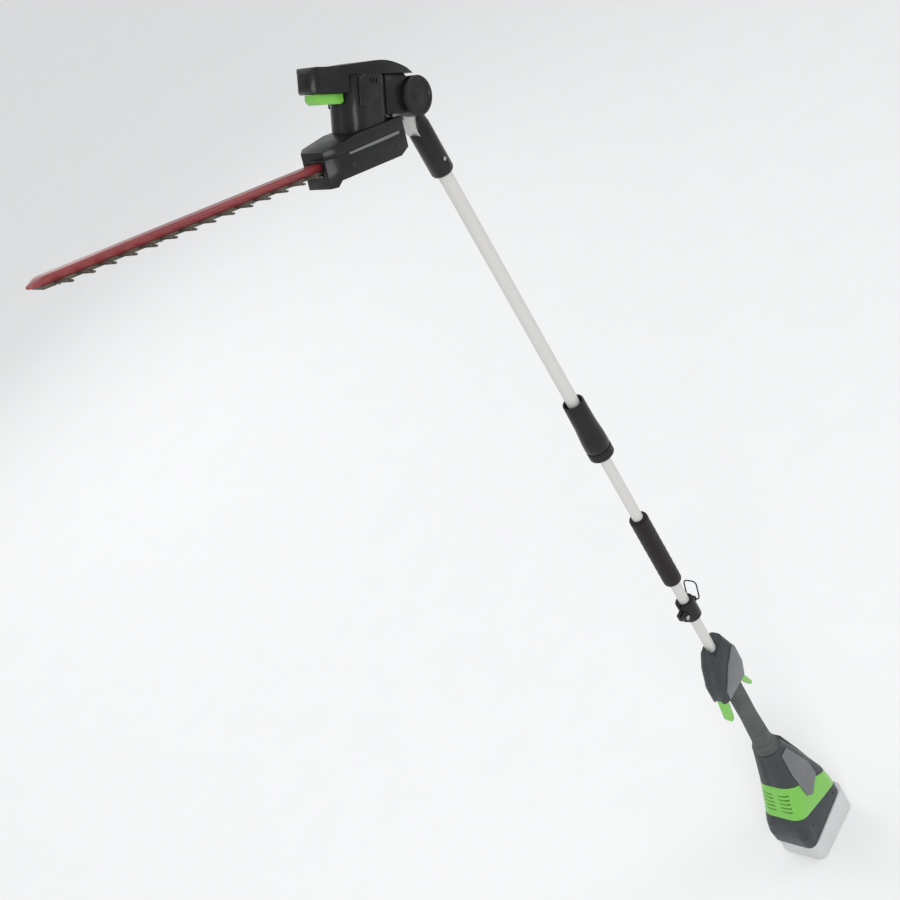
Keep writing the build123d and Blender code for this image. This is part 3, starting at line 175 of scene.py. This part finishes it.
def rise(tree, shader, heights, strength):
    """Bumps from several (height, depth in mm) patterns, one on another."""
    last = None
    for height, depth in heights:
        bump = tree.nodes.new("ShaderNodeBump")
        bump.inputs["Strength"].default_value = strength
        bump.inputs["Distance"].default_value = depth * MM
        tree.links.new(height, bump.inputs["Height"])
        if last:
            tree.links.new(last, bump.inputs["Normal"])
        last = bump.outputs["Normal"]
    tree.links.new(last, shader.inputs["Normal"])


def moulded(name, colour, roughness, grain=900, depth=0.05, coat=0.0, dust=1.25, specular=0.5):
    """Moulded plastic: a fine spark-eroded grain, broad sheen changes and slight handling marks."""
    mat, tree, shader = shader_of(name, colour, roughness, coat=coat, specular=specular)
    here = place_on(tree)
    broad = noise(tree, here, 14, 4)
    fine = noise(tree, here, grain, 2)
    paler = tuple(min(1, c * dust + 0.004) for c in colour)
    two_tone(tree, shader, spread(tree, broad, 0.35, 0.75, 0, 1), colour, paler)
    rubs = noise(tree, here, 60, 5, 0.65)
    tree.links.new(spread(tree, rubs, 0.3, 0.7, roughness - 0.06, roughness + 0.08), shader.inputs["Roughness"])
    rise(tree, shader, [(fine, depth), (cells(tree, here, grain * 0.6), depth * 0.25)], 0.5)
    return mat


def painted_tube(name, colour):
    """Satin paint on an aluminium tube, with fine lengthwise rub marks."""
    mat, tree, shader = shader_of(name, colour, 0.34, coat=0.15)
    along = place_on(tree, 0, (1, 1, 0.03))
    marks = noise(tree, along, 520, 3, 0.7)
    broad = noise(tree, place_on(tree), 9, 3)
    two_tone(tree, shader, spread(tree, marks, 0.25, 0.8, 0, 1), tuple(c * 0.93 for c in colour), colour)
    tree.links.new(spread(tree, broad, 0.3, 0.7, 0.28, 0.42), shader.inputs["Roughness"])
    rise(tree, shader, [(marks, 0.02), (noise(tree, place_on(tree), 700, 2), 0.02)], 0.4)
    return mat


def brushed(name, colour, roughness, slope, along=(0.02, 1, 1), scale=900):
    """Ground steel: grinding lines along one way, with slight tarnish."""
    mat, tree, shader = shader_of(name, colour, roughness, metallic=1.0)
    lines = noise(tree, place_on(tree, slope, along), scale, 3, 0.7)
    tarnish = noise(tree, place_on(tree), 30, 5, 0.6)
    tarnished = tuple(c * 0.7 for c in colour)
    two_tone(tree, shader, spread(tree, tarnish, 0.35, 0.7, 0, 1), colour, tarnished)
    tree.links.new(spread(tree, lines, 0.25, 0.75, roughness - 0.08, roughness + 0.12), shader.inputs["Roughness"])
    rise(tree, shader, [(lines, 0.03)], 0.45)
    return mat


def cast(name, colour, roughness):
    """Bead-blasted aluminium casting."""
    mat, tree, shader = shader_of(name, colour, roughness, metallic=0.75)
    here = place_on(tree)
    pits = cells(tree, here, 850)
    cloudy = spread(tree, noise(tree, here, 45, 5), 0.3, 0.75, 0, 1)
    two_tone(tree, shader, cloudy, colour, tuple(c * 0.93 for c in colour))
    rise(tree, shader, [(pits, 0.04), (noise(tree, here, 160, 4), 0.02)], 0.4)
    return mat


def powder_coat(name, colour, slope):
    """Powder coat with orange peel, rubbed darker along its length."""
    mat, tree, shader = shader_of(name, colour, 0.36, coat=0.25)
    here = place_on(tree)
    rub = noise(tree, place_on(tree, slope, (0.06, 1, 1)), 130, 5, 0.7)
    two_tone(tree, shader, spread(tree, rub, 0.3, 0.75, 0, 1), colour, tuple(c * 0.62 for c in colour))
    tree.links.new(spread(tree, rub, 0.3, 0.7, 0.3, 0.48), shader.inputs["Roughness"])
    rise(tree, shader, [(noise(tree, here, 420, 3), 0.06)], 0.5)
    return mat


def cell_foam(name, colour):
    """Open-cell foam: a dull skin full of small pores, with painted shade darkening the pores."""
    mat, tree, shader = shader_of(name, colour, 0.92, specular=0.2)
    here = place_on(tree)
    pores = cells(tree, here, 900)
    lumps = noise(tree, here, 240, 4)
    # the darker pore colour is painted shade inside the pores; the skin colour is lighter
    shaded_pore, on_skin = (tuple(c * share for c in colour) for share in (0.35, 1.5))
    two_tone(tree, shader, spread(tree, pores, 0.05, 0.6, 0, 1), shaded_pore, on_skin)
    shader.inputs["Sheen Weight"].default_value = 0.15
    rise(tree, shader, [(pores, 0.45), (lumps, 0.35)], 0.7)
    return mat


def ribbed_rubber(name, colour):
    """Soft grip rubber with a matt bloom."""
    mat, tree, shader = shader_of(name, colour, 0.7, specular=0.3)
    here = place_on(tree)
    bloom = spread(tree, noise(tree, here, 32, 4), 0.3, 0.75, 0, 1)
    two_tone(tree, shader, bloom, colour, tuple(c * 1.5 for c in colour))
    rise(tree, shader, [(cells(tree, here, 700), 0.08), (noise(tree, here, 1100, 2), 0.05)], 0.5)
    return mat


FINISHES = {
    "pole_paint": painted_tube("pale_pole_paint", (0.60, 0.59, 0.57)),
    "black_plastic": moulded("satin_black_plastic", (0.0065, 0.0065, 0.0072), 0.4, coat=0.22, specular=0.16),
    "dark_plastic": moulded("slate_plastic", (0.026, 0.032, 0.035), 0.46, 700, 0.08, specular=0.4),
    "panel_plastic": moulded("mid_grey_plastic", (0.125, 0.13, 0.135), 0.46, 700, 0.06),
    "green_plastic": moulded("leaf_green_plastic", (0.155, 0.47, 0.05), 0.3, 1100, 0.02, coat=0.25, dust=1.08),
    "pale_plastic": moulded("pale_grey_plastic", (0.56, 0.57, 0.57), 0.5, 650, 0.07, dust=1.05),
    "battery_case": moulded("charcoal_plastic", (0.06, 0.065, 0.07), 0.5, 600, 0.08),
    "grip_rubber": ribbed_rubber("grip_rubber", (0.066, 0.074, 0.072)),
    "foam": cell_foam("black_cell_foam", (0.012, 0.010, 0.0095)),
    "cast_alloy": cast("blasted_alloy", (0.50, 0.50, 0.485), 0.45),
    "bar_paint": powder_coat("dark_red_powder_coat", (0.27, 0.032, 0.036), -BLADE_SLOPE),
    "blade_steel": brushed("ground_blade_steel", (0.16, 0.145, 0.12), 0.42, -BLADE_SLOPE),
    "hardware_steel": brushed("plated_steel", (0.5, 0.5, 0.5), 0.32, 0, (1, 1, 1), 400),
    "wire_steel": brushed("blackened_wire", (0.07, 0.07, 0.075), 0.36, 0, (1, 1, 0.05), 600),
    "motor_steel": brushed("drawn_motor_steel", (0.36, 0.37, 0.38), 0.4, 0, (1, 1, 0.05), 500),
    "gear_steel": brushed("oiled_gear_steel", (0.4, 0.39, 0.36), 0.3, 0, (1, 1, 1), 300),
    "circuit_board": moulded("coated_board", (0.03, 0.15, 0.06), 0.35, 300, 0.15),
}


def dress(piece, slot_name):
    piece.data.materials.clear()
    piece.data.materials.append(FINISHES[slot_name])


def dress_frame():
    for name, node in NODES.items():
        for slot in node.material_slots:
            slot.material = FINISHES[SLOT_OF[name]]


# ---------------------------------------------------------------- shared making
def own(piece, node, slot_name=None):
    """The piece stands for a CAD node, moves with its body and takes its finish."""
    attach(piece, BODY_OF[node])
    if slot_name is None:
        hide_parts(node)
    dress(piece, slot_name or SLOT_OF[node])
    return piece


def copy_of(node, name):
    """A merged copy of a CAD node, to be worked further."""
    clear_selection()
    source = NODES[node]
    piece = source.copy()
    piece.data = source.data.copy()
    piece.name = piece.data.name = name
    bpy.context.collection.objects.link(piece)
    piece.parent = None
    piece.matrix_world = Matrix.Identity(4)
    piece.hide_render = False
    bpy.context.view_layer.objects.active = piece
    piece.select_set(True)
    bpy.ops.object.mode_set(mode="EDIT")
    bpy.ops.mesh.select_all(action="SELECT")
    bpy.ops.mesh.remove_doubles(threshold=0.00002)
    bpy.ops.mesh.dissolve_limited(angle_limit=radians(0.6))
    bpy.ops.mesh.normals_make_consistent(inside=False)
    bpy.ops.object.mode_set(mode="OBJECT")
    return piece


def apply_all(piece):
    bpy.context.view_layer.objects.active = piece
    for modifier in list(piece.modifiers):
        bpy.ops.object.modifier_apply(modifier=modifier.name)


def round_edges(piece, width, segments=2, angle=32):
    clear_selection()
    bpy.context.view_layer.objects.active = piece
    piece.select_set(True)
    bevel = piece.modifiers.new("rounding", "BEVEL")
    bevel.width = width * MM
    bevel.segments = segments
    bevel.limit_method = "ANGLE"
    bevel.angle_limit = radians(angle)
    bevel.use_clamp_overlap = True
    apply_all(piece)
    bpy.ops.object.shade_smooth_by_angle(angle=radians(35))
    return piece


SOFT = {}


def softened(node, width, segments=2):
    piece = copy_of(node, node + "_soft")
    SOFT[node] = own(round_edges(piece, width, segments), node)
    return SOFT[node]


set_camera()
soft_light("key_softbox", (-3.6, -3.6, 3.4), (-0.1, 0, 1.5), (2.2, 2.2), 100)
soft_light("fill_softbox", (3.2, -3.4, 2.6), (0, 0, 1.0), (2.0, 2.0), 24)
soft_light("top_softbox", (-0.3, 1.0, 5.6), (0, 0, 1.2), (3.0, 3.0), 26)
soft_light("back_softbox", (1.0, 4.2, 2.6), (0, 0, 1.2), (2.5, 2.5), 24)
sky = bpy.data.worlds.new("studio_air")
sky.use_nodes = True
sky.node_tree.nodes["Background"].inputs["Color"].default_value = (0.95, 0.96, 0.97, 1)
sky.node_tree.nodes["Background"].inputs["Strength"].default_value = 0.78
bpy.context.scene.world = sky
bpy.context.scene.view_settings.view_transform = "Standard"

dress_frame()

clear_selection()
bpy.ops.mesh.primitive_plane_add(size=30, location=(0, 0, 0))
floor = bpy.context.object
floor.name = "studio_floor"
floor_paint, floor_tree, floor_shader = shader_of("pale_floor", (0.9, 0.9, 0.9), 0.9, specular=0.2)
floor_cloud = noise(floor_tree, place_on(floor_tree), 6, 3)
two_tone(floor_tree, floor_shader, floor_cloud, (0.90, 0.90, 0.90), (0.93, 0.93, 0.93))
floor.data.materials.append(floor_paint)


def turned(piece, axes):
    """Lays a finished piece into the axes it was drawn in, and leaves its object at the origin."""
    clear_selection()
    bpy.context.view_layer.objects.active = piece
    piece.select_set(True)
    piece.matrix_world = axes @ piece.matrix_world
    bpy.ops.object.transform_apply(location=True, rotation=True, scale=True)
    return piece


def name_piece(name):
    piece = bpy.context.object
    piece.name = piece.data.name = name
    return piece


def block_piece(name, low, high):
    """A block between two corners, in mm."""
    clear_selection()
    low, high = Vector(low) * MM, Vector(high) * MM
    bpy.ops.mesh.primitive_cube_add(size=1, location=(low + high) / 2)
    piece = name_piece(name)
    piece.scale = high - low
    bpy.ops.object.transform_apply(location=True, rotation=True, scale=True)
    return piece


def trim(piece, point, normal):
    """Cuts off what lies beyond a plane and closes the cut."""
    clear_selection()
    bpy.context.view_layer.objects.active = piece
    piece.select_set(True)
    bpy.ops.object.mode_set(mode="EDIT")
    bpy.ops.mesh.select_all(action="SELECT")
    bpy.ops.mesh.bisect(plane_co=Vector(point) * MM, plane_no=normal, use_fill=True, clear_outer=True)
    bpy.ops.object.mode_set(mode="OBJECT")
    return piece


def lathe_piece(name, profile, steps):
    """A closed profile of (radius, height) in mm, spun about the vertical."""
    clear_selection()
    bpy.ops.mesh.primitive_circle_add(vertices=len(profile), radius=0.01)
    piece = name_piece(name)
    for vertex, (radius, height) in zip(piece.data.vertices, profile):
        vertex.co = Vector((radius, 0, height)) * MM
    bpy.ops.object.mode_set(mode="EDIT")
    bpy.ops.mesh.select_all(action="SELECT")
    bpy.ops.mesh.spin(steps=steps, angle=2 * pi, center=(0, 0, 0), axis=(0, 0, 1))
    bpy.ops.mesh.select_all(action="SELECT")
    bpy.ops.mesh.remove_doubles(threshold=0.00002)
    bpy.ops.mesh.normals_make_consistent(inside=False)
    bpy.ops.object.mode_set(mode="OBJECT")
    return piece


def carve(piece, cutters):
    """Takes the cutters away from a piece."""
    for cutter in cutters:
        clear_selection()
        bpy.context.view_layer.objects.active = piece
        piece.select_set(True)
        cut = piece.modifiers.new("carving", "BOOLEAN")
        cut.object = cutter
        cut.operation = "DIFFERENCE"
        cut.solver = "EXACT"
        bpy.ops.object.modifier_apply(modifier=cut.name)
        bpy.data.objects.remove(cutter, do_unlink=True)
    return piece


def joined(name, parts):
    clear_selection()
    for part in parts:
        part.select_set(True)
    bpy.context.view_layer.objects.active = parts[0]
    if len(parts) > 1:
        bpy.ops.object.join()
    return name_piece(name)


def with_body(piece, body, slot_name):
    """An added detail that moves with a body and takes one of the finishes."""
    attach(piece, body)
    dress(piece, slot_name)
    return piece


# ---------------------------------------------------------------- moulded shells, with worked edges
ROUNDING = {
    "motor_housing_left": 1.8, "motor_housing_right": 1.8, "gear_housing_upper": 2.2,
    "gear_housing_lower": 2.2,
    "pole_socket": 1.6, "guard_bar": 3.2, "release_lever": 1.6, "lock_ring": 0.9, "lock_sleeve": 1.2,
    "harness_clamp": 1.2, "switch_housing_left": 2.4, "switch_housing_right": 2.4, "side_panel_left": 0.9,
    "side_panel_right": 0.9, "trigger": 2.0, "lock_off_lever": 1.4,
    "rear_housing_left": 3.0, "rear_housing_right": 3.0, "vent_band": 1.2, "dock_ring": 1.8,
    "battery_dock": 3.0, "battery_left": 1.5, "battery_right": 1.5, "battery_latch_left": 0.8,
    "battery_latch_right": 0.8, "shield_left": 0.8, "shield_right": 0.8, "rear_bumper": 1.0,
    "upper_tube": 0.5, "lower_tube": 0.5,
}
for node_name, width in ROUNDING.items():
    softened(node_name, width)
arm = copy_of("knuckle_arm", "knuckle_arm_soft")
trim(arm, (-27, 0, HINGE.z / MM - 28), Vector((-0.964, 0, -0.268)))
own(round_edges(arm, 0.9), "knuckle_arm")


def beyond_round(low, high, radius, along):
    """What lies outside a block whose free end, at high x, is rounded in one view (along: 1 = y, 2 = z)."""
    form = block_piece("round_form", low, high)
    mesh = form.data
    for flags in (mesh.vertices, mesh.polygons):
        flags.foreach_set("select", [False] * len(flags))
    bpy.context.tool_settings.mesh_select_mode = (False, True, False)
    for edge in mesh.edges:
        first, last = (mesh.vertices[i].co / MM for i in edge.vertices)
        edge.select = min(first.x, last.x) > high[0] - 0.1 and abs(first[along] - last[along]) > 1
    bpy.ops.object.mode_set(mode="EDIT")
    bpy.ops.mesh.bevel(offset=radius * MM, segments=10, affect="EDGES")
    bpy.ops.object.mode_set(mode="OBJECT")
    bpy.context.tool_settings.mesh_select_mode = (True, False, False)
    outside = block_piece("round_outside", (high[0] - radius - 2, -45, -8), (high[0] + 25, 45, 85))
    carve(outside, [form])
    return turned(outside, MOTOR_AXES)


cover = copy_of("top_cover", "top_cover_soft")
carve(cover, [
    beyond_round((COVER_REACH, -HANDLE_SIDE, -20), (HANDLE_FREE_END, HANDLE_SIDE, 95), 20, 2),
    beyond_round((COVER_REACH, -60, HANDLE_LOW), (HANDLE_FREE_END, 60, HANDLE_HIGH), 17, 1)])
SOFT["top_cover"] = own(round_edges(cover, 1.6, 3), "top_cover")


# ---------------------------------------------------------------- hinge caps: rim, dish and hub
def hinge_disc(side, word):
    low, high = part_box("hinge_cap_" + word)
    inner, outer = sorted((abs(low[1]) / MM, abs(high[1]) / MM))
    r = HINGE_CAP_R
    profile = [(0.4, inner), (r - 0.6, inner), (r, inner + 0.6), (r, outer - 2.4), (r - 0.8, outer - 0.8),
               (r - 2.4, outer), (r - 5.2, outer), (r - 6.4, outer - 0.9), (r - 7.4, outer - 1.9),
               (r - 12, outer - 2.3), (r - 20, outer - 1.7), (r - 21, outer - 1.0), (r - 22, outer - 0.8),
               (0.4, outer - 0.6)]
    disc = lathe_piece("hinge_disc_" + word, profile, 96)
    bpy.ops.object.select_all(action="DESELECT")
    quarter = Matrix.Rotation(-side * pi / 2, 4, "X")
    disc = turned(disc, Matrix.Translation(HINGE) @ quarter)
    bpy.ops.object.shade_smooth_by_angle(angle=radians(28))
    return own(disc, "hinge_cap_" + word)


for side, word in ((1, "right"), (-1, "left")):
    hinge_disc(side, word)


# ---------------------------------------------------------------- head details
def highlight_rib(side, word):
    """Tapered raised rib along the parting line of the gear housing, made pale grey as a painted highlight."""
    outside = -GEAR_SIDE * side
    low, high = sorted((outside + side * 0.6, outside - side * 1.6))
    rib = block_piece("highlight_rib_" + word, (RIB_START, low, -45), (RIB_END, high, -39))
    trim(rib, (RIB_START, 0, -44), Vector((-0.022, 0, -1)))
    trim(rib, (RIB_START, 0, -39), Vector((0.024, 0, 1)))
    round_edges(rib, 0.7, 3)
    # the pale grey finish on this rib is a painted highlight along the seam, not a colour of the housing
    return with_body(turned(rib, BLADE_AXES), "head", "panel_plastic")


def side_cheek(side, word):
    """Flat raised panel on the side of the motor housing, narrower towards the front."""
    outside = -MOTOR_SIDE * side
    low, high = sorted((outside + side * 1.0, outside - side * 1.4))
    cheek = block_piece("side_cheek_" + word, (84, low, -12), (128, high, 33))
    trim(cheek, (84, 0, 4), Vector((-0.55, 0, -1)))
    trim(cheek, (128, 0, 26), Vector((1, 0, 0.25)))
    round_edges(cheek, 1.2, 3)
    carve(cheek, [block_piece("slot", (89 + 6 * n, -60, 22), (91.5 + 6 * n, 60, 30)) for n in range(3)])
    return with_body(turned(cheek, MOTOR_AXES), "head", "black_plastic")


for side, word in ((1, "right"), (-1, "left")):
    highlight_rib(side, word)
    side_cheek(side, word)

# ---------------------------------------------------------------- foam grip
low, high = (v / MM for v in (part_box("foam_grip")[0][2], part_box("foam_grip")[1][2]))
r_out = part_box("foam_grip")[1][0] / MM
r_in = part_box("lower_tube")[1][0] / MM + 0.15
length = high - low
profile = [(r_in, low), (r_out - 3.5, low), (r_out - 1.2, low + 1.0), (r_out - 0.2, low + 3.4)]
profile += [(r_out - 0.1 - 0.25 * sin(n * 2.1), low + 3.4 + n * (length - 6.8) / 30) for n in range(1, 30)]
profile += [(r_out - 0.2, high - 3.4), (r_out - 1.2, high - 1.0), (r_out - 3.5, high), (r_in, high)]
foam = lathe_piece("foam_sleeve", profile, 72)
bpy.ops.object.shade_smooth_by_angle(angle=radians(50))
own(foam, "foam_grip")

# ---------------------------------------------------------------- grip sleeve and collar
low, high = (v / MM for v in (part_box("grip_collar")[0][2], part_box("grip_collar")[1][2]))
bore = r_in
top_r = 23.0
collar_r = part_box("grip_collar")[1][0] / MM
span = high - low
profile = [(bore, low), (collar_r - 1.4, low), (collar_r, low + 1.6), (collar_r, low + span * 0.26),
           (collar_r - 0.8, low + span * 0.32), (collar_r - 2.6, low + span * 0.36),
           (collar_r - 3.2, low + span * 0.45), (collar_r - 4.0, low + span * 0.62),
           (collar_r - 5.6, low + span * 0.85), (top_r + 0.4, high - 0.8), (top_r - 0.6, high), (bore, high)]
collar = lathe_piece("grip_flange", profile, 80)
bpy.ops.object.shade_smooth_by_angle(angle=radians(40))
own(collar, "grip_collar")
own(round_edges(copy_of("grip_sleeve", "grip_sleeve_soft"), 1.0), "grip_sleeve")


# ---------------------------------------------------------------- screws on the shells
SCREW_R = 3.2


def screw_head():
    """A cross-head screw in its shallow seat, with its axis upright."""
    r = SCREW_R
    profile = [(0.3, -0.6), (r, -0.6), (r, 0.25), (r - 0.3, 0.55), (r - 1.2, 0.8), (0.3, 0.85)]
    head = lathe_piece("screw", profile, 28)
    arm = r * 0.6
    carve(head, [block_piece("cross", (-arm, -0.35, 0.2), (arm, 0.35, 2)),
                 block_piece("cross", (-0.35, -arm, 0.2), (0.35, arm, 2))])
    return head


def screws_on(name, body, places):
    """Screws set square on a surface: each place is (node, x, z, side) in metres."""
    heads = []
    for node, x, z, side in places:
        target = SOFT[node]
        hit, place, normal, _ = target.ray_cast(Vector((x, side * 0.2, z)), Vector((0, -side, 0)))
        if not hit:
            print("no surface for a screw:", name, node)
            continue
        lie = Matrix.Translation(place) @ normal.to_track_quat("Z", "Y").to_matrix().to_4x4()
        heads.append(turned(screw_head(), lie))
    heads = joined(name, heads)
    bpy.ops.object.shade_smooth_by_angle(angle=radians(30))
    return with_body(heads, body, "wire_steel")


def on_motor(along, above):
    place = MOTOR_AXES @ (Vector((along, 0, above)) * MM)
    return place.x, place.z


screws_on("switch_screws", "lower_pole", [
    ("side_panel_right", 0.020, 0.632, 1), ("side_panel_right", -0.030, 0.592, 1),
    ("switch_housing_right", 0.006, 0.682, 1)])
screws_on("rear_screws", "lower_pole", [
    ("rear_housing_right", 0.0, 0.318, 1), ("rear_housing_right", -0.020, 0.262, 1),
    ("dock_ring", -0.040, 0.112, 1), ("dock_ring", 0.060, 0.096, 1),
    ("dock_ring", -0.040, 0.112, -1), ("dock_ring", 0.060, 0.096, -1)])
screws_on("cover_screws", "head", [
    ("top_cover", *on_motor(168, 32), 1), ("top_cover", *on_motor(46, 44), 1),
    ("top_cover", *on_motor(128, 43), 1)])
screws_on("motor_screws", "head", [
    ("motor_housing_right", *on_motor(77, -16), 1), ("motor_housing_right", *on_motor(77, 26), 1)])
screws_on("gear_screws", "head", [
    ("gear_housing_lower", *((BLADE_AXES @ (Vector((f, 0, -62)) * MM)).xz), side)
    for f in (70, 170) for side in (1, -1)])
